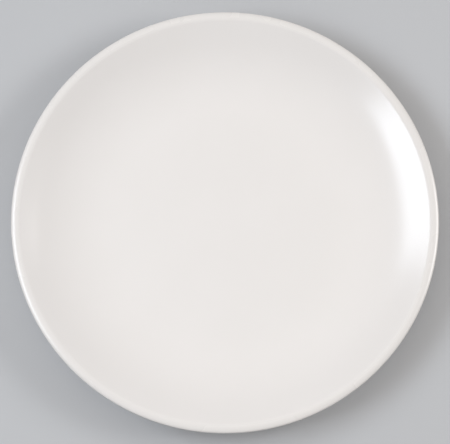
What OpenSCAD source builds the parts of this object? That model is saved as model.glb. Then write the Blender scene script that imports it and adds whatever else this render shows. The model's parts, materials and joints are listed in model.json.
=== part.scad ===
// Glazed stoneware salad plate, round and coupe-shaped, on a foot ring.
// Millimetres, +Z up, origin at the centre of the plane that the foot ring stands on.

/* [Plate] */
// Diameter over the glazed rim
plate_d = 210; // [160:1:300]
// Height from the bearing face of the foot ring to the top of the glazed lip
plate_h = 20; // [18.5:0.5:23]
// Thickness of the clay in the flat well
floor_t = 5.2; // [4.4:0.1:6.4]
// Thickness of the clay in the wall
wall_t = 3.9; // [3.4:0.1:5.5]

/* [Face and back] */
// Width from the glazed rim in to the flat well, where the curve of the face starts
face_w = 47; // [40:0.5:54]
// Slope of the straight stretch of wall below the lip, in degrees
wall_slope = 25; // [23:1:28]
// Slope of the underside next to the foot ring, in degrees
back_slope = 8; // [4:1:12]
// Width of underside from the base of the foot ring to where the curve up the back starts
back_land = 5.5; // [5:0.1:10]

/* [Lip] */
// Width from the glazed rim in to the lip, where the straight wall ends
lip_w = 4.8; // [4.2:0.1:5.4]
// Radius of the crown, from the wall up to the crest of the lip
lip_crown_r = 4.6; // [3.5:0.1:6.5]
// Radius of the shoulder, from the crest out to the edge
lip_shoulder_r = 4.4; // [3:0.1:6]
// Radius of the edge, from the shoulder down to the rim
lip_edge_r = 0.8; // [0.5:0.1:1.4]

/* [Foot ring] */
// Width from the glazed rim in to the base of the foot ring
overhang = 42.5; // [38:0.5:45]
// Width of the foot ring at its base
foot_w = 4.5; // [3.5:0.1:7]
// Height of the foot ring, and so the depth of the recess inside it
foot_h = 3; // [2.6:0.1:4]
// Lean of the foot ring's sides from upright, in degrees
foot_draft = 15; // [8:1:25]
// Radius of the fillets where the foot ring meets the underside
foot_fillet_r = 2.4; // [1:0.1:2.6]
// Radius of the edges of the bearing face
foot_edge_r = 0.9; // [0.4:0.1:1.2]

/* [Glaze] */
// Thickness of the glaze
glaze_t = 0.3; // [0.2:0.05:0.5]
// Height of the band of bare clay above the bearing face
bare_h = 1.3; // [1:0.1:1.6]

/* [Hidden] */
$fn = 256;

clay_colour = "#d9c8b0";
glaze_colour = "#ebe8e5";

// An arc is drawn larger by this much, so that it crosses the straight sides beside it
arc_lap = 0.002;
// How far the waste at a corner reaches past the sides of the corner
waste_lap = 0.2;
// The section starts this far past the axis, and is then cut at the axis
axis_lap = 1;

rim_r = plate_d / 2 - glaze_t;
well_r = plate_d / 2 - face_w;
foot_r = plate_d / 2 - overhang;
foot_mid_r = foot_r - foot_w / 2;
well_z = foot_h + floor_t;

// The crest of the lip, and the fall in degrees at which the shoulder runs into the edge
crest_p = [plate_d / 2 - lip_w + (lip_crown_r + glaze_t) * sin(wall_slope), plate_h - glaze_t];
lip_fall = asin((rim_r - lip_edge_r - crest_p.x) / (lip_shoulder_r - lip_edge_r));

// Upward normals of the wall's face and of the shoulder at its end
wall_up = [-sin(wall_slope), cos(wall_slope)];
lip_up = [sin(lip_fall), cos(lip_fall)];

// Where the straight wall ends, and the centre of the edge
wall_end = crest_p - [0, lip_crown_r] + lip_crown_r * wall_up;
edge_c = crest_p - [0, lip_shoulder_r] + (lip_shoulder_r - lip_edge_r) * lip_up;

// A point on each other straight side of the section
well_p = [0, well_z];
lip_p = edge_c + lip_edge_r * lip_up;
rim_p = [rim_r, edge_c.y];
back_p = wall_end - wall_t * wall_up;
underside_p = [foot_r, foot_h];
foot_outer_p = [foot_r, 0];
foot_inner_p = [foot_r - foot_w, 0];
recess_p = [0, foot_h];

// Corner under the rim, with the radius that takes the edge on to the back
under_corner = meet(rim_p, 90, back_p, wall_slope);
under_r = (rim_p.y - under_corner.y) / tan((90 - wall_slope) / 2);

// Corners at the foot of the wall, with the radii that start the curves where they should
face_corner = meet(well_p, 0, wall_end, wall_slope);
face_r = (face_corner.x - well_r) / tan(wall_slope / 2);
back_corner = meet(back_p, wall_slope, underside_p, back_slope);
back_r = (back_corner.x - foot_r - back_land) / cos(back_slope) / tan((wall_slope - back_slope) / 2);

// Half section of the clay, clockwise: the place of each corner and the radius that rounds it
SECTION = [
    [recess_p - [axis_lap, 0], 0],
    [well_p - [axis_lap, 0], 0],
    [face_corner, face_r],
    [meet(wall_end, wall_slope, crest_p, 0), lip_crown_r],
    [meet(crest_p, 0, lip_p, -lip_fall), lip_shoulder_r],
    [meet(lip_p, -lip_fall, rim_p, 90), lip_edge_r],
    [under_corner, under_r],
    [back_corner, back_r],
    [meet(underside_p, back_slope, foot_outer_p, 90 - foot_draft), foot_fillet_r],
    [foot_outer_p, foot_edge_r],
    [foot_inner_p, foot_edge_r],
    [meet(foot_inner_p, 90 + foot_draft, recess_p, 0), foot_fillet_r],
];

// Where the line through p at angle a meets the line through q at angle b
function meet(p, a, q, b) =
    let (d = q - p)
    p + (d.x * sin(b) - d.y * cos(b)) / sin(b - a) * [cos(a), sin(a)];

function unit(v) = v / norm(v);
function left_of(v) = [-v.y, v.x];

// Corner i of an outline, counted round it, and the directions of the sides that meet there
function place(outline, i) = outline[(i + len(outline)) % len(outline)][0];
function radius(outline, i) = outline[i][1];
function side_in(outline, i) = unit(place(outline, i) - place(outline, i - 1));
function side_out(outline, i) = unit(place(outline, i + 1) - place(outline, i));

// The turn at a corner in degrees, above 0 at an inner corner
function turn(outline, i) =
    let (u = side_in(outline, i), v = side_out(outline, i))
    atan2(u.x * v.y - u.y * v.x, u * v);
function is_inner(outline, i) = radius(outline, i) > 0 && turn(outline, i) > 0;
function is_outer(outline, i) = radius(outline, i) > 0 && turn(outline, i) < 0;

// Where the arc at a corner starts and ends, and its centre
function arc_reach(outline, i) = radius(outline, i) * tan(abs(turn(outline, i)) / 2);
function arc_start(outline, i) = place(outline, i) - arc_reach(outline, i) * side_in(outline, i);
function arc_end(outline, i) = place(outline, i) + arc_reach(outline, i) * side_out(outline, i);
function arc_centre(outline, i) =
    arc_start(outline, i) + sign(turn(outline, i)) * radius(outline, i) * left_of(side_in(outline, i));

// An outline moved outwards by g, with every arc still round its own centre
function grown(outline, g) = [
    for (i = [0 : len(outline) - 1])
        let (n = left_of(side_in(outline, i)), m = left_of(side_out(outline, i)))
        [
            place(outline, i) + g * (n + m) / (1 + n * m),
            radius(outline, i) == 0 ? 0 : radius(outline, i) - sign(turn(outline, i)) * g
        ]
];

// A point moved on from c by the waste's lap
function past(c, p) = p + waste_lap * unit(p - c);

// The disc whose edge is the arc at a corner
module arc_disc(outline, i) {
    translate(arc_centre(outline, i)) circle(radius(outline, i) + arc_lap);
}

// What an outer corner has outside its arc
module corner_waste(outline, i) {
    c = arc_centre(outline, i);
    points = [arc_start(outline, i), place(outline, i), arc_end(outline, i)];
    difference() {
        polygon([c, for (p = points) past(c, p)]);
        arc_disc(outline, i);
    }
}

// An outline with round corners: an inner corner is filled as far as the chord of its arc,
// and then all arcs are cut
module rounded(outline) {
    corners = [0 : len(outline) - 1];
    difference() {
        polygon([
            for (i = corners)
                each is_inner(outline, i)
                    ? [arc_start(outline, i), arc_end(outline, i)]
                    : [place(outline, i)]
        ]);
        for (i = corners) {
            if (is_inner(outline, i)) arc_disc(outline, i);
            if (is_outer(outline, i)) corner_waste(outline, i);
        }
    }
}

// The half section of the glaze, before the foot ring is wiped bare
module glaze_section() {
    difference() {
        rounded(grown(SECTION, glaze_t));
        rounded(SECTION);
    }
}

// The half space above the bare band, below the well and inside the middle of the foot ring
module foot_well_space() {
    translate([0, bare_h]) square([foot_mid_r, foot_h]);
}

// The half space above the bare band, for everything else
module coat_space() {
    difference() {
        translate([0, bare_h]) square([plate_d, plate_h]);
        foot_well_space();
    }
}

// The fired clay: well, wall, lip and foot ring in one piece
module clay_body() {
    color(clay_colour)
        rotate_extrude()
            intersection() {
                rounded(SECTION);
                square([plate_d, plate_h]);
            }
}

// The glaze over the face, the lip and the back, down to the outside of the foot ring
module glaze_coat() {
    color(glaze_colour)
        rotate_extrude()
            intersection() {
                glaze_section();
                coat_space();
            }
}

// The glaze on the underside, inside the foot ring
module foot_well_glaze() {
    color(glaze_colour)
        rotate_extrude()
            intersection() {
                glaze_section();
                foot_well_space();
            }
}

clay_body();
glaze_coat();
foot_well_glaze();
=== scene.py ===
"""A glazed stoneware salad plate and a plain studio, laid out as an add-on and run as a script."""

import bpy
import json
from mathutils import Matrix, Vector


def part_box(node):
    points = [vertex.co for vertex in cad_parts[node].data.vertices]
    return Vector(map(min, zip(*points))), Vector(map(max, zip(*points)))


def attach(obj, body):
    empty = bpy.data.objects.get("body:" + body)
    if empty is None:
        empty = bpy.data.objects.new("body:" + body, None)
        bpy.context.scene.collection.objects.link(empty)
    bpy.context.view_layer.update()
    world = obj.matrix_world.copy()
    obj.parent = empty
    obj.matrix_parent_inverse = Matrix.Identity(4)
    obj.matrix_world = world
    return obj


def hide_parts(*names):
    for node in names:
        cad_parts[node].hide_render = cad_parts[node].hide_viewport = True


bl_info = {
    "name": "Salad Plate",
    "version": (1, 0, 0),
    "blender": (4, 5, 0),
    "location": "View3D > Sidebar > Salad Plate",
    "description": "Makes a glazed stoneware salad plate and a plain studio to show it in",
    "category": "Add Mesh",
}

import json
import math
from collections import namedtuple

import bmesh
import bpy
from bpy.props import FloatProperty, FloatVectorProperty, IntProperty, PointerProperty
from mathutils import Vector
from mathutils.geometry import intersect_line_line

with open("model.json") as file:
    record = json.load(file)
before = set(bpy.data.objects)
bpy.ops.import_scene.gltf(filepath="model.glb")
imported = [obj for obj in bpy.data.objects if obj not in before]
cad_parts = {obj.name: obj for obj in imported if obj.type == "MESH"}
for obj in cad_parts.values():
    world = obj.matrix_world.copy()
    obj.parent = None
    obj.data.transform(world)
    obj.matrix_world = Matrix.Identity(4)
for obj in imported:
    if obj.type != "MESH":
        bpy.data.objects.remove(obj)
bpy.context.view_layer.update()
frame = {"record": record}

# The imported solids, which the driving sizes come from
_, clay_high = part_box("clay_body")
coat_low, coat_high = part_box("glaze_coat")
recess_low, recess_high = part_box("foot_well_glaze")
mount_places = {mount["name"]: Vector(mount["pos_m"]) for mount in frame["record"]["mounts"]}

MM = 0.001

# The photograph's frame, and the width of the rim in it
IMAGE_W_PX = 450
RIM_W_PX = 428.7


# Properties


def length(name, description, default):
    """A length in metres that a user may change."""
    return FloatProperty(
        name=name,
        description=description,
        default=default,
        min=0.0,
        precision=5,
        unit="LENGTH",
        subtype="DISTANCE",
    )


def angle(name, description, degrees):
    """An angle that a user may change."""
    return FloatProperty(
        name=name, description=description, default=math.radians(degrees), unit="ROTATION", subtype="ANGLE"
    )


def share(name, description, default):
    """A share from 0 to 1 that a user may change."""
    return FloatProperty(
        name=name,
        description=description,
        default=default,
        min=0.0,
        max=1.0,
        subtype="FACTOR",
    )


def amount(name, description, default):
    """A plain number that a user may change."""
    return FloatProperty(name=name, description=description, default=default, min=0.0)


def colour(name, description, red, green, blue):
    """A colour that a user may change, written as a screen shows it, from 0 to 255."""
    return FloatVectorProperty(
        name=name,
        description=description,
        default=[linear(level / 255) for level in (red, green, blue)],
        min=0.0,
        max=1.0,
        subtype="COLOR",
    )


def direction(name, description, right, far, up):
    """A direction that a user may change."""
    return FloatVectorProperty(
        name=name,
        description=description,
        default=(right, far, up),
        subtype="DIRECTION",
    )


def linear(level):
    """A screen level from 0 to 1 as an amount of light, on the usual curve of a screen."""
    return level / 12.92 if level <= 0.04045 else ((level + 0.055) / 1.055) ** 2.4


class PlateSizes(bpy.types.PropertyGroup):
    """Sizes of the plate's half section, and how finely it is turned."""

    diameter: length("Diameter", "Across the glazed rim", coat_high.x - coat_low.x)
    height: length("Height", "From the table to the top of the glazed lip", coat_high.z)
    glaze: length("Glaze", "Thickness of the glaze", coat_high.z - clay_high.z)
    well_height: length("Well height", "From the table to the glazed well", mount_places["well_floor"].z)
    wall: length("Wall", "Thickness of the clay in the wall", 3.9 * MM)
    face_width: length("Face width", "From the rim in to where the face starts to curve", 47 * MM)
    wall_slope: angle("Wall slope", "Slope of the straight wall below the lip", 25)
    back_slope: angle("Back slope", "Slope of the underside next to the foot ring", 8)
    back_land: length("Back land", "From the foot ring out to where the back starts to curve", 5.5 * MM)
    lip_width: length("Lip width", "From the rim in to where the straight wall ends", 4.8 * MM)
    lip_crown: length("Lip crown", "Radius from the wall up to the crest of the lip", 4.6 * MM)
    lip_shoulder: length("Lip shoulder", "Radius from the crest out to the edge", 4.4 * MM)
    lip_edge: length("Lip edge", "Radius from the shoulder down to the rim", 0.8 * MM)
    foot_middle: length("Foot middle", "Radius to the middle of the foot ring", mount_places["foot_rest"].x)
    foot_width: length("Foot width", "Width of the foot ring at its base", 4.5 * MM)
    foot_height: length("Foot height", "Height of the foot ring", recess_high.z)
    foot_draft: angle("Foot draft", "Lean of the foot ring's sides from upright", 15)
    foot_fillet: length("Foot fillet", "Radius where the foot ring meets the underside", 2.4 * MM)
    foot_edge: length("Foot edge", "Radius of the edges of the bearing face", 0.9 * MM)
    bare_band: length("Bare band", "Height of the clay left bare above the table", recess_low.z)
    arc_gap: length("Arc gap", "Farthest that a chord may lie from its arc", 0.004 * MM)
    hold: length("Hold", "From the end of a straight side to the ring that holds its shading", 0.4 * MM)
    turn_steps: IntProperty(
        name="Turn steps",
        description="Steps of the turn round the axis",
        default=256,
        min=24,
    )


class GlazeLook(bpy.types.PropertyGroup):
    """Finish of the white glaze."""

    colour: colour("Colour", "Colour of the glaze where it is thick", 240, 236, 233)
    # The thin colour also paints shade over the lip
    thin_and_shade_colour: colour("Thin colour", "Colour where the glaze runs thin over the clay", 230, 226, 221)
    roughness: share("Roughness", "Roughness of the glaze", 0.20)
    roughness_spread: share("Roughness spread", "How far the roughness wanders", 0.02)
    tone_spread: share("Tone spread", "How far the colour wanders towards the thin colour", 0.10)
    tone_size: length("Tone size", "Width of a patch of tone", 30 * MM)
    ripple_size: length("Ripple size", "Width of a ripple in the surface", 5 * MM)
    ripple_depth: length("Ripple depth", "Depth of the ripples", 0.004 * MM)
    pinhole_pitch: length("Pinhole pitch", "Usual distance between pinholes", 9 * MM)
    pinhole_size: length("Pinhole size", "Width of a pinhole", 0.25 * MM)
    pinhole_share: share("Pinhole share", "Share of the places that have a pinhole", 0.5)
    pinhole_tone: share("Pinhole tone", "How far a pinhole turns to the thin colour", 0.6)
    refraction: amount("Refraction", "Index of refraction of the glaze", 1.6)
    # This darkens the lip's colour towards the thin colour: painted shade over the lip, where the glaze
    # also runs thinner
    lip_shade_and_thinning: share("Lip break", "How far the glaze thins over the lip", 0.25)
    lip_fade: share("Lip fade", "Share of the lip's width over which the glaze grows thin", 0.4)
    lip_roughness: share("Lip roughness", "Roughness of the glaze where it thins over the lip", 0.27)


class ClayLook(bpy.types.PropertyGroup):
    """Finish of the bare clay on the foot ring."""

    colour: colour("Colour", "Colour of the fired clay", 214, 198, 172)
    pale_colour: colour("Pale colour", "Colour of the paler patches", 226, 214, 194)
    toast_colour: colour("Toast colour", "Colour of the toasted line next to the glaze", 186, 150, 112)
    speck_colour: colour("Speck colour", "Colour of the specks in the clay", 126, 104, 82)
    worn_colour: colour("Worn colour", "Colour of the bearing face where it is rubbed", 190, 180, 164)
    toast_start: share("Toast start", "Share of the bare band below the toasted line", 0.45)
    toast_depth: share("Toast depth", "How far the clay is toasted next to the glaze", 0.8)
    worn_reach: share("Worn reach", "Share of the bare band that is rubbed", 0.2)
    worn_depth: share("Worn depth", "How far the bearing face is rubbed", 0.7)
    roughness: share("Roughness", "Roughness of the bare clay", 0.82)
    roughness_spread: share("Roughness spread", "How far the roughness wanders", 0.08)
    patch_size: length("Patch size", "Width of a patch of tone", 7 * MM)
    speck_pitch: length("Speck pitch", "Usual distance between specks", 1.6 * MM)
    speck_size: length("Speck size", "Width of a speck", 0.35 * MM)
    speck_share: share("Speck share", "Share of the places that have a speck", 0.6)
    grain_size: length("Grain size", "Width of a grain", 0.35 * MM)
    grain_depth: length("Grain depth", "Depth of the grain", 0.045 * MM)
    ring_pitch: length("Ring pitch", "Distance between the turning marks", 0.6 * MM)
    ring_depth: length("Ring depth", "Depth of the turning marks", 0.025 * MM)


class Studio(bpy.types.PropertyGroup):
    """The floor, the lamps and the camera."""

    floor_colour: colour("Floor colour", "Colour of the floor", 198, 199, 201)
    floor_deep_colour: colour("Floor deep colour", "Colour of the deeper patches", 195, 196, 198)
    floor_patch: length("Floor patch", "Width of a patch of tone on the floor", 0.4)
    floor_roughness: share("Floor roughness", "Roughness of the floor", 0.9)
    floor_gloss: share("Floor gloss", "Strength of the floor's reflections", 0.1)
    floor_radius: length("Floor radius", "Radius of the floor", 4.0)
    floor_near: length("Floor near", "Distance from the plate at which the floor starts to fade", 0.3)
    floor_far: length("Floor far", "Distance from the plate at which the backdrop is all that shows", 1.1)
    backdrop_colour: colour("Backdrop colour", "Colour of the room behind the plate", 196, 197, 199)
    backdrop_start: angle("Backdrop start", "Where the backdrop starts to fade, above the horizon", 25)
    backdrop_end: angle("Backdrop end", "Where only the ceiling is left, above the horizon", 45)
    room_colour: colour("Room colour", "Colour of the ceiling's light", 255, 250, 245)
    room_light: amount("Room light", "Light from the brightest part of the ceiling", 0.967)
    room_focus: amount("Room focus", "How fast the light fades away from the brightest part", 2.5)
    room_side: direction("Room side", "The way to the brightest part of the ceiling", -0.23, 0.26, 1.0)
    lamp_distance: length("Lamp distance", "From the plate to each softbox", 1.2)
    key_colour: colour("Key colour", "Colour of the softbox on the left", 238, 246, 255)
    key_power: amount("Key power", "Power of the softbox on the left, in watts", 6.74)
    key_length: length("Key length", "Length of the softbox on the left", 0.715)
    key_width: length("Key width", "Width of the softbox on the left", 0.45)
    key_elevation: angle("Key elevation", "Height of the left softbox above the horizon", 46.9)
    key_azimuth: angle("Key azimuth", "Turn of the left softbox, anticlockwise from the right", 177.3)
    key_roll: angle("Key roll", "Tilt of the left softbox in its own plane, near end up", 10)
    fill_colour: colour("Fill colour", "Colour of the softbox on the right", 255, 255, 255)
    fill_power: amount("Fill power", "Power of the softbox on the right, in watts", 5.4)
    fill_length: length("Fill length", "Length of the softbox on the right", 0.54)
    fill_width: length("Fill width", "Width of the softbox on the right", 0.42)
    fill_elevation: angle("Fill elevation", "Height of the right softbox above the horizon", 34.5)
    fill_azimuth: angle("Fill azimuth", "Turn of the right softbox, anticlockwise from the right", 7.5)
    fill_roll: angle("Fill roll", "Tilt of the right softbox in its own plane, far end up", 0)
    front_colour: colour("Front colour", "Colour of the softbox on the near side", 255, 255, 255)
    front_power: amount("Front power", "Power of the softbox on the near side, in watts", 1.72)
    front_length: length("Front length", "Length of the softbox on the near side", 1.4)
    front_width: length("Front width", "Width of the softbox on the near side", 0.6)
    front_elevation: angle("Front elevation", "Height of the near softbox above the horizon", 45)
    front_azimuth: angle("Front azimuth", "Turn of the near softbox, anticlockwise from the right", -90)
    front_roll: angle("Front roll", "Tilt of the near softbox in its own plane, right end up", 0)
    camera_elevation: angle("Camera elevation", "Height of the camera above the horizon", 79.8)
    camera_distance: length("Camera distance", "From the plate to the camera", 0.9)
    camera_aim: length("Camera aim", "From the plate's middle to where the camera looks", 2 * MM)


class SaladPlate(bpy.types.PropertyGroup):
    """Everything about the plate that a user may change."""

    sizes: PointerProperty(type=PlateSizes, name="Sizes", description="Sizes of the plate")
    glaze: PointerProperty(type=GlazeLook, name="Glaze", description="Finish of the glaze")
    clay: PointerProperty(type=ClayLook, name="Clay", description="Finish of the bare clay")
    studio: PointerProperty(type=Studio, name="Studio", description="Floor, lamps and camera")


# Half section


# A straight side of the section: a point on it, and its heading in radians
Side = namedtuple("Side", "point heading")

# An arc between two sides: its ends, the ways out of the clay there, its centre, turn and steps
Bend = namedtuple("Bend", "start end out_start out_end centre turn steps")

# The bends of the clay, from the well over the lip and under the plate to the recess
Section = namedtuple(
    "Section", "face crown shoulder rim_edge rim_under back outer_fillet outer_edge inner_edge inner_fillet"
)

# The rounded end of a glaze: the clay next to it, the way out of the clay, and its turn
Bead = namedtuple("Bead", "clay out turn")
BEAD_STEPS = 6

# Axes of the half section's arcs and of the plate
ACROSS = (0.0, -1.0, 0.0)
UP = (0.0, 0.0, 1.0)

# Points this close together are one
MERGE_GAP = 0.001 * MM

# A straight run of more than this many holds gets a holding point near each end
LONG_RUN = 3


def at(radius, height):
    """A point of the half section."""
    return Vector((radius, 0.0, height))


def along(heading):
    """The direction of a heading in the plane of the half section."""
    return Vector((math.cos(heading), 0.0, math.sin(heading)))


def out_from(heading):
    """The way out of the clay beside a side with that heading."""
    return along(heading + math.pi / 2)


def corner_of(before, after):
    """Where two sides meet."""
    met = intersect_line_line(
        before.point, before.point + along(before.heading), after.point, after.point + along(after.heading)
    )
    if met is None:
        raise ValueError("Two neighbouring sides of the section are parallel")
    return met[0]


def bend(before, after, radius, arc_gap):
    """The arc of that radius that leads from one side into the next."""
    corner = corner_of(before, after)
    turn = math.remainder(after.heading - before.heading, math.tau)
    reach = radius * math.tan(abs(turn) / 2)
    start = corner - reach * along(before.heading)
    # The widest step whose chord keeps within the gap
    step = 2 * math.acos(1 - arc_gap / radius)
    return Bend(
        start=start,
        end=corner + reach * along(after.heading),
        out_start=out_from(before.heading),
        out_end=out_from(after.heading),
        centre=start + math.copysign(radius, turn) * out_from(before.heading),
        turn=turn,
        steps=math.ceil(abs(turn) / step),
    )


def foot_sides(sizes):
    """The outer side, the base and the inner side of the foot ring, on the way in."""
    half = sizes.foot_width / 2
    outer, inner = at(sizes.foot_middle + half, 0.0), at(sizes.foot_middle - half, 0.0)
    return (
        Side(outer, 1.5 * math.pi - sizes.foot_draft),
        Side(outer, math.pi),
        Side(inner, 0.5 * math.pi + sizes.foot_draft),
    )


def clay_section(sizes):
    """The bends of the clay's half section."""
    slope = sizes.wall_slope
    wall_out = out_from(slope)
    rim_radius = sizes.diameter / 2 - sizes.glaze
    foot_outer, foot_base, foot_inner = foot_sides(sizes)

    # The crown meets the shoulder on the crest, and the shoulder falls until it runs into the edge
    crest_run = sizes.lip_width - (sizes.lip_crown + sizes.glaze) * math.sin(slope)
    crest_top = at(sizes.diameter / 2 - crest_run, sizes.height - sizes.glaze)
    shoulder_over_edge = sizes.lip_shoulder - sizes.lip_edge
    fall = -math.asin((crest_run - sizes.glaze - sizes.lip_edge) / shoulder_over_edge)
    edge_centre = crest_top - at(0.0, sizes.lip_shoulder) + shoulder_over_edge * out_from(fall)
    wall_end = crest_top - at(0.0, sizes.lip_crown) + sizes.lip_crown * wall_out

    well = Side(at(0.0, sizes.well_height - sizes.glaze), 0.0)
    face = Side(wall_end, slope)
    crest = Side(crest_top, 0.0)
    lip = Side(edge_centre + sizes.lip_edge * out_from(fall), fall)
    rim = Side(at(rim_radius, edge_centre.z), -math.pi / 2)
    back = Side(wall_end - sizes.wall * wall_out, slope + math.pi)
    underside = Side(foot_outer.point + at(0.0, sizes.foot_height), sizes.back_slope + math.pi)
    recess = Side(at(0.0, sizes.foot_height), math.pi)

    # The edge runs on under the rim, and the curves of the face and the back start where the sizes say
    under_run = edge_centre.z - corner_of(rim, back).z
    face_run = corner_of(well, face).x - (sizes.diameter / 2 - sizes.face_width)
    back_run = corner_of(back, underside).x - foot_outer.point.x - sizes.back_land
    under_radius = under_run / math.tan((math.pi / 2 - slope) / 2)
    face_radius = face_run / math.tan(slope / 2)
    back_radius = back_run / math.cos(sizes.back_slope) / math.tan((slope - sizes.back_slope) / 2)

    sides = (well, face, crest, lip, rim, back, underside, foot_outer, foot_base, foot_inner, recess)
    radii = (
        face_radius,
        sizes.lip_crown,
        sizes.lip_shoulder,
        sizes.lip_edge,
        under_radius,
        back_radius,
        sizes.foot_fillet,
        sizes.foot_edge,
        sizes.foot_edge,
        sizes.foot_fillet,
    )
    if min(radii) <= sizes.arc_gap:
        raise ValueError("The sizes leave no room for one of the section's bends")
    return Section(
        *(
            bend(before, after, radius, sizes.arc_gap)
            for before, after, radius in zip(sides, sides[1:], radii)
        )
    )


def backwards(bends):
    """The same bends, met from the other end."""
    return [
        one._replace(
            start=one.end,
            end=one.start,
            out_start=one.out_end,
            out_end=one.out_start,
            turn=-one.turn,
        )
        for one in reversed(bends)
    ]


def glaze_bead(side, way, sizes):
    """The rounded end of the glaze on a side of the foot ring. The way is -1 on the way in, and 1 out."""
    out = out_from(side.heading)
    rise = abs(math.sin(side.heading))
    clay_height = sizes.bare_band + sizes.glaze / 2 * (1 - out.z)
    up = along(side.heading) * math.copysign(1 / rise, math.sin(side.heading))
    return Bead(clay=side.point + clay_height * up, out=out, turn=way * math.pi)


# Drawing and turning


def extrude_to(bm, tip, place):
    """Carries the outline on to a place."""
    made = bmesh.ops.extrude_vert_indiv(bm, verts=[tip])
    made["verts"][0].co = place
    return made["verts"][0]


def run_to(bm, tip, place, hold):
    """Carries the outline straight on to a place, with a holding point near each end of a long run."""
    start = tip.co.copy()
    run = place - start
    if run.length < MERGE_GAP:
        return tip
    if run.length > LONG_RUN * hold:
        near = hold * run.normalized()
        tip = extrude_to(bm, tip, start + near)
        tip = extrude_to(bm, tip, place - near)
    return extrude_to(bm, tip, place)


def swing(bm, tip, centre, turn, steps):
    """Carries the outline on along an arc."""
    made = bmesh.ops.spin(bm, geom=[tip], cent=centre, axis=ACROSS, angle=turn, steps=steps)
    return next(item for item in made["geom_last"] if isinstance(item, bmesh.types.BMVert))


def trace(bm, tip, bends, cover, hold):
    """Carries the outline on along some bends, over a cover of that thickness."""
    for one in bends:
        tip = run_to(bm, tip, one.start + cover * one.out_start, hold)
        tip = swing(bm, tip, one.centre, one.turn, one.steps)
    return tip


def draw_skin(bm, bends, bead, top, bottom, sizes):
    """Draws the half section of a glaze: out along its surface, round its end and back along the clay."""
    tip = bm.verts.new(at(0.0, top))
    tip = trace(bm, tip, bends, sizes.glaze, sizes.hold)
    tip = run_to(bm, tip, bead.clay + sizes.glaze * bead.out, sizes.hold)
    tip = swing(bm, tip, bead.clay + sizes.glaze / 2 * bead.out, bead.turn, BEAD_STEPS)
    tip = trace(bm, tip, backwards(bends), 0.0, sizes.hold)
    run_to(bm, tip, at(0.0, bottom), sizes.hold)


def corner_order(face, count):
    """A number that sorts a face by its first and last corner, out of that many."""
    corners = [vert.index for vert in face.verts]
    return min(corners) * count + max(corners)


def turn_on_wheel(bm, steps):
    """Turns a half section round the axis into a closed solid."""
    bmesh.ops.spin(
        bm,
        geom=bm.verts[:] + bm.edges[:],
        cent=(0.0, 0.0, 0.0),
        axis=UP,
        angle=math.tau,
        steps=steps,
        use_merge=True,
    )
    bmesh.ops.remove_doubles(bm, verts=bm.verts[:], dist=MERGE_GAP)
    bmesh.ops.recalc_face_normals(bm, faces=bm.faces[:])
    # A thin bowl can come out of that inside out
    if bm.calc_volume(signed=True) < 0.0:
        bmesh.ops.reverse_faces(bm, faces=bm.faces[:])
    # The spin makes its faces in any order, so they are sorted to be the same on each run
    bm.verts.index_update()
    count = len(bm.verts)
    bm.faces.sort(key=lambda face: corner_order(face, count))


def add_object(name, bm, material):
    """Makes an object of a finished mesh, at the origin."""
    mesh = bpy.data.meshes.new(name)
    bm.to_mesh(mesh)
    bm.free()
    mesh.materials.append(material)
    made = bpy.data.objects.new(name, mesh)
    bpy.context.scene.collection.objects.link(made)
    return made


def add_piece(name, bm, material, node):
    """Makes a piece of the plate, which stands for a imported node."""
    piece = add_object(name, bm, material)
    piece.data.shade_smooth()
    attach(piece, "root")
    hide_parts(node)


# Shader tools

# Sockets of a Mix node for a factor, two colours and the colour between them
MIX_FACTOR, MIX_FIRST, MIX_SECOND = 0, 6, 7
MIX_RESULT = 2

# Noise levels at which a patch starts and is full, and the layers of noise in a patch and in a grain
PATCH_START, PATCH_FULL = 0.3, 0.7
PATCH_LAYERS = 3.0
GRAIN_LAYERS = 2.0

# Share of a speck that is as dark as its middle
SPECK_CORE = 0.4

# Radians to the unit in a wave of scale 1, and how far a turning mark strays from a true ring
WAVE_RADIANS = 20
RING_STRAY = {"Distortion": 1.5, "Detail": 2.0, "Detail Scale": 0.3}


def put(tree, kind, inputs=None, **settings):
    """Adds a node, with its settings, and sets or links its inputs."""
    node = tree.nodes.new(kind)
    for name, value in settings.items():
        setattr(node, name, value)
    for name, value in (inputs or {}).items():
        if isinstance(value, bpy.types.NodeSocket):
            tree.links.new(value, node.inputs[name])
        else:
            node.inputs[name].default_value = value
    return node


def maths(tree, operation, first, second=0.0):
    """The result of a sum on one or two values."""
    return put(tree, "ShaderNodeMath", {0: first, 1: second}, operation=operation).outputs["Value"]


def ramp(tree, value, start, end, low=0.0, high=1.0):
    """A value that goes smoothly from low to high as the given one goes from start to end."""
    limits = {"Value": value, "From Min": start, "From Max": end, "To Min": low, "To Max": high}
    return put(tree, "ShaderNodeMapRange", limits, interpolation_type="SMOOTHSTEP").outputs["Result"]


def blend_colours(tree, factor, first, second):
    """A colour between two others."""
    inputs = {MIX_FACTOR: factor, MIX_FIRST: first, MIX_SECOND: second}
    return put(tree, "ShaderNodeMix", inputs, data_type="RGBA").outputs[MIX_RESULT]


def blend_shaders(tree, factor, first, second):
    """A shader between two others."""
    return put(tree, "ShaderNodeMixShader", {0: factor, 1: first, 2: second}).outputs["Shader"]


def opaque(rgb):
    """A colour property as a shader colour."""
    return (*rgb, 1.0)


def new_group(name, values, output):
    """A shader node group that reads a position and some values and puts out one value: its tree, its
    inputs and its output's socket."""
    tree = bpy.data.node_groups.new(name, "ShaderNodeTree")
    tree.interface.new_socket("Position", in_out="INPUT", socket_type="NodeSocketVector")
    for value in values:
        tree.interface.new_socket(value, in_out="INPUT", socket_type="NodeSocketFloat")
    tree.interface.new_socket(output, in_out="OUTPUT", socket_type="NodeSocketFloat")
    inputs = put(tree, "NodeGroupInput").outputs
    result = put(tree, "NodeGroupOutput").inputs[output]
    return tree, inputs, result


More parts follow.
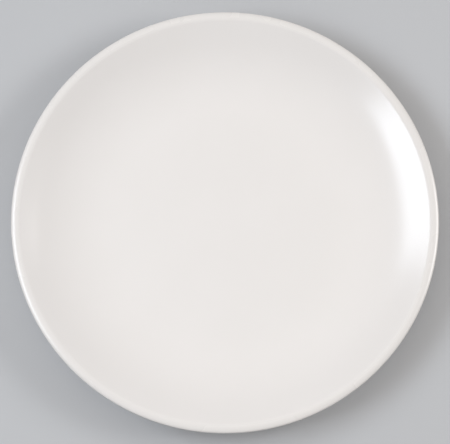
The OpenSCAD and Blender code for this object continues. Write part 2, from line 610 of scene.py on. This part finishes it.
def uneven_tone():
    """Soft patches, of which the size is the usual width. Puts out 0 to 1."""
    name = "uneven_tone"
    if name in bpy.data.node_groups:
        return bpy.data.node_groups[name]
    tree, inputs, result = new_group(name, ["Size"], "Tone")
    scale = maths(tree, "DIVIDE", 1.0, inputs["Size"])
    looks = {"Vector": inputs["Position"], "Scale": scale, "Detail": PATCH_LAYERS}
    noise = put(tree, "ShaderNodeTexNoise", looks)
    tree.links.new(ramp(tree, noise.outputs["Fac"], PATCH_START, PATCH_FULL), result)
    return tree


def fine_grain():
    """Grains of the given width and depth. Puts out a height in metres."""
    name = "fine_grain"
    if name in bpy.data.node_groups:
        return bpy.data.node_groups[name]
    tree, inputs, result = new_group(name, ["Size", "Depth"], "Height")
    scale = maths(tree, "DIVIDE", 1.0, inputs["Size"])
    looks = {"Vector": inputs["Position"], "Scale": scale, "Detail": GRAIN_LAYERS}
    noise = put(tree, "ShaderNodeTexNoise", looks)
    tree.links.new(maths(tree, "MULTIPLY", noise.outputs["Fac"], inputs["Depth"]), result)
    return tree


def kiln_specks():
    """Scattered round specks of the given pitch and width, of which only some show. Puts out a mask."""
    name = "kiln_specks"
    if name in bpy.data.node_groups:
        return bpy.data.node_groups[name]
    tree, inputs, result = new_group(name, ["Pitch", "Size", "Share"], "Mask")
    scale = maths(tree, "DIVIDE", 1.0, inputs["Pitch"])
    cells = put(tree, "ShaderNodeTexVoronoi", {"Vector": inputs["Position"], "Scale": scale})
    pick = put(tree, "ShaderNodeSeparateColor", {"Color": cells.outputs["Color"]})
    widest = maths(tree, "DIVIDE", inputs["Size"], inputs["Pitch"])
    reach = maths(tree, "MULTIPLY", widest, pick.outputs["Green"])
    core = maths(tree, "MULTIPLY", reach, SPECK_CORE)
    near = ramp(tree, cells.outputs["Distance"], core, reach, 1.0, 0.0)
    shown = maths(tree, "LESS_THAN", pick.outputs["Red"], inputs["Share"])
    tree.links.new(maths(tree, "MULTIPLY", near, shown), result)
    return tree


def turning_rings():
    """Rings round the axis, a pitch apart, as a tool leaves them. Puts out a height in metres."""
    name = "turning_rings"
    if name in bpy.data.node_groups:
        return bpy.data.node_groups[name]
    tree, inputs, result = new_group(name, ["Pitch", "Depth"], "Height")
    scale = maths(tree, "DIVIDE", math.tau / WAVE_RADIANS, inputs["Pitch"])
    looks = {"Vector": inputs["Position"], "Scale": scale, **RING_STRAY}
    wave = put(tree, "ShaderNodeTexWave", looks, wave_type="RINGS", rings_direction="Z")
    tree.links.new(maths(tree, "MULTIPLY", wave.outputs["Fac"], inputs["Depth"]), result)
    return tree


def use_group(tree, group, position, **values):
    """Places a shader node group in a material, and gives its result."""
    node = put(tree, "ShaderNodeGroup", node_tree=group)
    tree.links.new(position, node.inputs["Position"])
    for name, value in values.items():
        node.inputs[name.capitalize()].default_value = value
    return node.outputs[0]


def new_material(name):
    """An empty material: itself, its tree, the position on the piece and the shader."""
    material = bpy.data.materials.new(name)
    material.use_nodes = True
    tree = material.node_tree
    tree.nodes.clear()
    position = put(tree, "ShaderNodeTexCoord").outputs["Object"]
    shader = put(tree, "ShaderNodeBsdfPrincipled")
    put(tree, "ShaderNodeOutputMaterial", {"Surface": shader.outputs["BSDF"]})
    return material, tree, position, shader


def height_at(tree, position):
    """The height of a position."""
    return put(tree, "ShaderNodeSeparateXYZ", {"Vector": position}).outputs["Z"]


def radius_at(tree, position):
    """The distance of a position from the axis."""
    flat = put(tree, "ShaderNodeVectorMath", {0: position, 1: (1.0, 1.0, 0.0)}, operation="MULTIPLY")
    size = put(tree, "ShaderNodeVectorMath", {0: flat.outputs["Vector"]}, operation="LENGTH")
    return size.outputs["Value"]


def shows_backdrop(tree):
    """1 for rays that show the backdrop to the camera, straight, mirrored or through something clear."""
    rays = put(tree, "ShaderNodeLightPath").outputs
    seen = maths(tree, "MAXIMUM", rays["Is Camera Ray"], rays["Is Glossy Ray"])
    return maths(tree, "MAXIMUM", seen, rays["Is Transmission Ray"])


def bump_from(tree, height, shader):
    """Makes the surface rise and fall by a height in metres."""
    bump = put(tree, "ShaderNodeBump", {"Height": height, "Distance": 1.0, "Strength": 1.0})
    tree.links.new(bump.outputs["Normal"], shader.inputs["Normal"])


# Materials


def glaze_material(look, sizes):
    """White glaze: glossy and faintly uneven, rougher over the lip and painted darker there as painted
    shade where the glaze also runs thinner, with a few pinholes.
    """
    name = "glaze_finish"
    if name in bpy.data.materials:
        return bpy.data.materials[name]
    material, tree, position, shader = new_material(name)

    tone = use_group(tree, uneven_tone(), position, size=look.tone_size)
    holes = use_group(
        tree,
        kiln_specks(),
        position,
        pitch=look.pinhole_pitch,
        size=look.pinhole_size,
        share=look.pinhole_share,
    )
    ripple = use_group(tree, fine_grain(), position, size=look.ripple_size, depth=look.ripple_depth)

    # Over the lip the colour is painted darker, as painted shade, where the glaze also runs thinner; the
    # glaze there is rougher too
    lip_start = sizes.diameter / 2 - sizes.lip_width
    lip = ramp(tree, radius_at(tree, position), lip_start, lip_start + look.lip_fade * sizes.lip_width)
    # How far the colour turns to the thin colour: random tone, painted shade over the lip, and pinholes
    thin = maths(tree, "MULTIPLY", tone, look.tone_spread)
    thin = maths(tree, "MAXIMUM", thin, maths(tree, "MULTIPLY", lip, look.lip_shade_and_thinning))
    thin = maths(tree, "MAXIMUM", thin, maths(tree, "MULTIPLY", holes, look.pinhole_tone))
    base = blend_colours(tree, thin, opaque(look.colour), opaque(look.thin_and_shade_colour))
    tree.links.new(base, shader.inputs["Base Color"])

    low, high = look.roughness - look.roughness_spread, look.roughness + look.roughness_spread
    rough = ramp(tree, tone, 0.0, 1.0, low, high)
    rougher = maths(tree, "MULTIPLY", lip, look.lip_roughness - look.roughness)
    tree.links.new(maths(tree, "ADD", rough, rougher), shader.inputs["Roughness"])
    shader.inputs["IOR"].default_value = look.refraction
    bump_from(tree, ripple, shader)
    return material


def clay_material(look, sizes):
    """Bare fired clay: matte, grainy and specked, with turning marks, a toasted line and a worn base."""
    material, tree, position, shader = new_material("clay_finish")
    height = height_at(tree, position)

    patch = use_group(tree, uneven_tone(), position, size=look.patch_size)
    specks = use_group(
        tree,
        kiln_specks(),
        position,
        pitch=look.speck_pitch,
        size=look.speck_size,
        share=look.speck_share,
    )
    grain = use_group(tree, fine_grain(), position, size=look.grain_size, depth=look.grain_depth)
    rings = use_group(tree, turning_rings(), position, pitch=look.ring_pitch, depth=look.ring_depth)

    band = sizes.bare_band
    toast = ramp(tree, height, look.toast_start * band, band, 0.0, look.toast_depth)
    rubbed = ramp(tree, height, 0.0, look.worn_reach * band, look.worn_depth, 0.0)
    worn = maths(tree, "MULTIPLY", rubbed, patch)
    base = blend_colours(tree, patch, opaque(look.colour), opaque(look.pale_colour))
    base = blend_colours(tree, toast, base, opaque(look.toast_colour))
    base = blend_colours(tree, worn, base, opaque(look.worn_colour))
    base = blend_colours(tree, specks, base, opaque(look.speck_colour))
    tree.links.new(base, shader.inputs["Base Color"])

    low, high = look.roughness - look.roughness_spread, look.roughness + look.roughness_spread
    tree.links.new(ramp(tree, patch, 0.0, 1.0, low, high), shader.inputs["Roughness"])
    bump_from(tree, maths(tree, "ADD", grain, rings), shader)
    return material


def floor_material(studio):
    """Pale matte floor, which fades into the backdrop far from the plate."""
    material, tree, position, shader = new_material("studio_floor")
    tone = use_group(tree, uneven_tone(), position, size=studio.floor_patch)
    base = blend_colours(tree, tone, opaque(studio.floor_colour), opaque(studio.floor_deep_colour))
    tree.links.new(base, shader.inputs["Base Color"])
    shader.inputs["Roughness"].default_value = studio.floor_roughness
    shader.inputs["Specular IOR Level"].default_value = studio.floor_gloss

    # The backdrop's colour is only seen and mirrored, so it is no lamp
    far = ramp(tree, radius_at(tree, position), studio.floor_near, studio.floor_far)
    faded = maths(tree, "MULTIPLY", far, shows_backdrop(tree))
    backdrop = put(tree, "ShaderNodeEmission", {"Color": opaque(studio.backdrop_colour), "Strength": 1.0})
    mixed = blend_shaders(tree, faded, shader.outputs["BSDF"], backdrop.outputs["Emission"])
    tree.links.new(mixed, tree.get_output_node("ALL").inputs["Surface"])
    material.cycles.emission_sampling = "NONE"
    return material


# Operators


class SALADPLATE_OT_clay_body(bpy.types.Operator):
    """Make the fired clay body: well, wall, lip and foot ring"""

    bl_idname = "saladplate.clay_body"
    bl_label = "Clay Body"

    def execute(self, context):
        plate = context.scene.salad_plate
        sizes = plate.sizes
        bm = bmesh.new()
        tip = bm.verts.new(at(0.0, sizes.well_height - sizes.glaze))
        tip = trace(bm, tip, clay_section(sizes), 0.0, sizes.hold)
        run_to(bm, tip, at(0.0, sizes.foot_height), sizes.hold)
        turn_on_wheel(bm, sizes.turn_steps)
        add_piece("plate_clay", bm, clay_material(plate.clay, sizes), "clay_body")
        return {"FINISHED"}


class SALADPLATE_OT_glaze_coat(bpy.types.Operator):
    """Make the glaze over the face, the lip, the back and the outside of the foot ring"""

    bl_idname = "saladplate.glaze_coat"
    bl_label = "Glaze Coat"

    def execute(self, context):
        plate = context.scene.salad_plate
        sizes = plate.sizes
        section = clay_section(sizes)
        foot_outer = foot_sides(sizes)[0]
        bm = bmesh.new()
        draw_skin(
            bm,
            section[: Section._fields.index("outer_fillet") + 1],
            glaze_bead(foot_outer, -1, sizes),
            sizes.well_height,
            sizes.well_height - sizes.glaze,
            sizes,
        )
        turn_on_wheel(bm, sizes.turn_steps)
        add_piece("plate_glaze", bm, glaze_material(plate.glaze, sizes), "glaze_coat")
        return {"FINISHED"}


class SALADPLATE_OT_recess_glaze(bpy.types.Operator):
    """Make the glaze in the recess inside the foot ring"""

    bl_idname = "saladplate.recess_glaze"
    bl_label = "Recess Glaze"

    def execute(self, context):
        plate = context.scene.salad_plate
        sizes = plate.sizes
        section = clay_section(sizes)
        foot_inner = foot_sides(sizes)[-1]
        bm = bmesh.new()
        draw_skin(
            bm,
            backwards([section.inner_fillet]),
            glaze_bead(foot_inner, 1, sizes),
            sizes.foot_height - sizes.glaze,
            sizes.foot_height,
            sizes,
        )
        turn_on_wheel(bm, sizes.turn_steps)
        add_piece("recess_glaze", bm, glaze_material(plate.glaze, sizes), "foot_well_glaze")
        return {"FINISHED"}


class SALADPLATE_OT_stage(bpy.types.Operator):
    """Lay the floor, light the plate and set up the camera"""

    bl_idname = "saladplate.stage"
    bl_label = "Stage"

    def execute(self, context):
        scene = context.scene
        plate = scene.salad_plate
        scene.view_settings.view_transform = "Standard"
        lay_floor(plate.studio)
        light_room(scene, plate.studio)
        for name in SOFTBOXES:
            hang_softbox(scene, plate, name)
        scene.camera = aim_camera(scene, plate.studio, plate.sizes)
        return {"FINISHED"}


# Stage

# The softboxes, by the first word of their settings
SOFTBOXES = ("key", "fill", "front")

FLOOR_SIDES = 96


def lay_floor(studio):
    """A round pale floor under the foot ring."""
    bm = bmesh.new()
    bmesh.ops.create_circle(bm, cap_ends=True, segments=FLOOR_SIDES, radius=studio.floor_radius)
    floor = add_object("floor", bm, floor_material(studio))


def light_room(scene, studio):
    """Soft light from a ceiling that fades to the sides of the room, and a pale backdrop below it that
    is only seen and mirrored."""
    bright_side = Vector(studio.room_side).normalized()
    world = bpy.data.worlds.new("studio_room")
    world.use_nodes = True
    tree = world.node_tree
    tree.nodes.clear()
    outlook = put(tree, "ShaderNodeTexCoord").outputs["Generated"]
    towards = put(tree, "ShaderNodeVectorMath", {0: outlook, 1: bright_side}, operation="DOT_PRODUCT")
    above = maths(tree, "MAXIMUM", towards.outputs["Value"], 0.0)
    level = maths(tree, "MULTIPLY", maths(tree, "POWER", above, studio.room_focus), studio.room_light)
    light = put(tree, "ShaderNodeBackground", {"Color": opaque(studio.room_colour), "Strength": level})

    start, end = math.sin(studio.backdrop_start), math.sin(studio.backdrop_end)
    low = ramp(tree, height_at(tree, outlook), start, end, 1.0, 0.0)
    shown = maths(tree, "MULTIPLY", low, shows_backdrop(tree))
    backdrop = put(tree, "ShaderNodeBackground", {"Color": opaque(studio.backdrop_colour), "Strength": 1.0})
    mixed = blend_shaders(tree, shown, light.outputs["Background"], backdrop.outputs["Background"])
    put(tree, "ShaderNodeOutputWorld", {"Surface": mixed})

    # Lamp samples can't tell what a ray is for, so the room is only reached by the rays themselves
    world.cycles.sampling_method = "NONE"
    scene.world = world


def look_from(thing, place, target):
    """Puts a lamp or a camera in a place and points it at a target."""
    thing.location = place
    thing.rotation_euler = (target - place).to_track_quat("-Z", "Y").to_euler()


def hang_softbox(scene, plate, name):
    """A softbox that faces the plate, with what the studio gives under its name."""
    studio = plate.studio
    lamp = bpy.data.lights.new(name, "AREA")
    lamp.shape = "RECTANGLE"
    lamp.size = getattr(studio, name + "_length")
    lamp.size_y = getattr(studio, name + "_width")
    lamp.energy = getattr(studio, name + "_power")
    lamp.color = getattr(studio, name + "_colour")
    softbox = bpy.data.objects.new(name, lamp)
    scene.collection.objects.link(softbox)
    elevation = getattr(studio, name + "_elevation")
    azimuth = getattr(studio, name + "_azimuth")
    flat = math.cos(elevation)
    away = Vector((flat * math.cos(azimuth), flat * math.sin(azimuth), math.sin(elevation)))
    target = at(0.0, plate.sizes.height)
    look_from(softbox, target + studio.lamp_distance * away, target)
    softbox.rotation_euler.rotate_axis("Z", getattr(studio, name + "_roll"))


def aim_camera(scene, studio, sizes):
    """The camera high over the plate, on the near side, with the rim as wide as in the photograph."""
    data = bpy.data.cameras.new("camera")
    camera = bpy.data.objects.new("camera", data)
    scene.collection.objects.link(camera)
    target = Vector((0.0, -studio.camera_aim, sizes.height))
    away = Vector((0.0, -math.cos(studio.camera_elevation), math.sin(studio.camera_elevation)))
    look_from(camera, target + studio.camera_distance * away, target)
    data.lens = data.sensor_width * RIM_W_PX / IMAGE_W_PX * studio.camera_distance / sizes.diameter
    return camera


# Sidebar


class SALADPLATE_PT_sidebar(bpy.types.Panel):
    """Sizes and finishes of the plate, and the tools that make it"""

    bl_idname = "SALADPLATE_PT_sidebar"
    bl_label = "Salad Plate"
    bl_space_type = "VIEW_3D"
    bl_region_type = "UI"
    bl_category = "Salad Plate"

    def draw(self, context):
        plate = context.scene.salad_plate
        for group in (plate.sizes, plate.glaze, plate.clay, plate.studio):
            box = self.layout.box()
            for name in group.__annotations__:
                box.prop(group, name)
        for operator in OPERATORS:
            self.layout.operator(operator.bl_idname)


OPERATORS = (
    SALADPLATE_OT_clay_body,
    SALADPLATE_OT_glaze_coat,
    SALADPLATE_OT_recess_glaze,
    SALADPLATE_OT_stage,
)
CLASSES = (PlateSizes, GlazeLook, ClayLook, Studio, SaladPlate, *OPERATORS, SALADPLATE_PT_sidebar)


def register():
    """Registers the classes, and gives the scene the plate's settings."""
    for made in CLASSES:
        bpy.utils.register_class(made)
    bpy.types.Scene.salad_plate = PointerProperty(type=SaladPlate)


def unregister():
    """Takes the settings and the classes away again."""
    del bpy.types.Scene.salad_plate
    for made in reversed(CLASSES):
        bpy.utils.unregister_class(made)


def main():
    """Makes the plate and its stage."""
    register()
    bpy.ops.saladplate.clay_body()
    bpy.ops.saladplate.glaze_coat()
    bpy.ops.saladplate.recess_glaze()
    bpy.ops.saladplate.stage()


if __name__ == "__main__":
    main()
